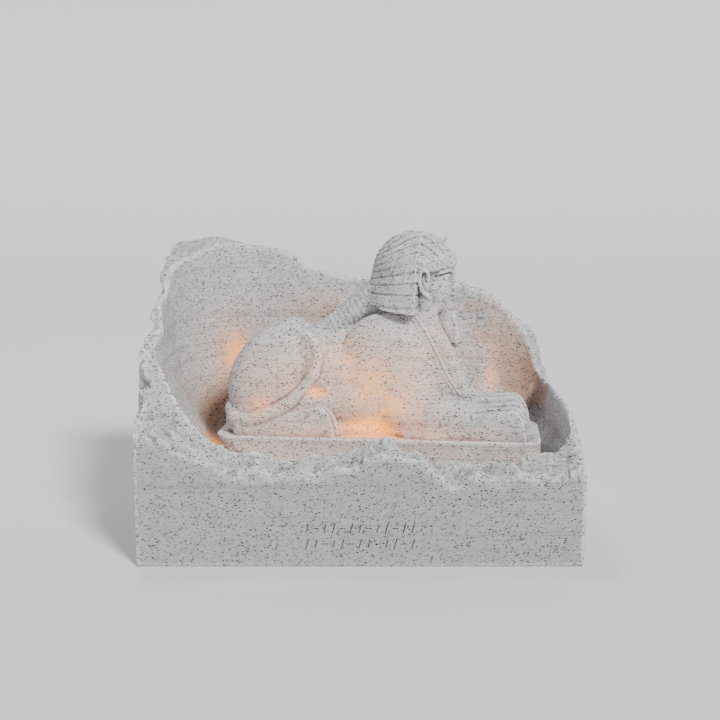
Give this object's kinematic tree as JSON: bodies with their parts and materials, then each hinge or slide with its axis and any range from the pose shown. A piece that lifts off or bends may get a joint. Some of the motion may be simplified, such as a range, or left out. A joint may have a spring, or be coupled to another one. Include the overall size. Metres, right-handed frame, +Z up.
{
  "type": "sphinx statue in a broken stone block",
  "caption": "Small speckled sphinx lying on its own plinth inside the hollowed niche of a broken rectangular block, with a rough rim.",
  "frame": {"origin": "middle of the block's underside", "axes": "+X along the block's front from the figure's tail to its paws, +Y to the back, +Z up"},
  "size_m": [0.2, 0.12, 0.1459],
  "materials": {
    "speckled_stone": "matt pale grey marble-look plastic with small dark grey specks and fine horizontal layer lines"
  },
  "bodies": {
    "root": {"broken_block": "speckled_stone", "sphinx": "speckled_stone"}
  },
  "joints": []
}
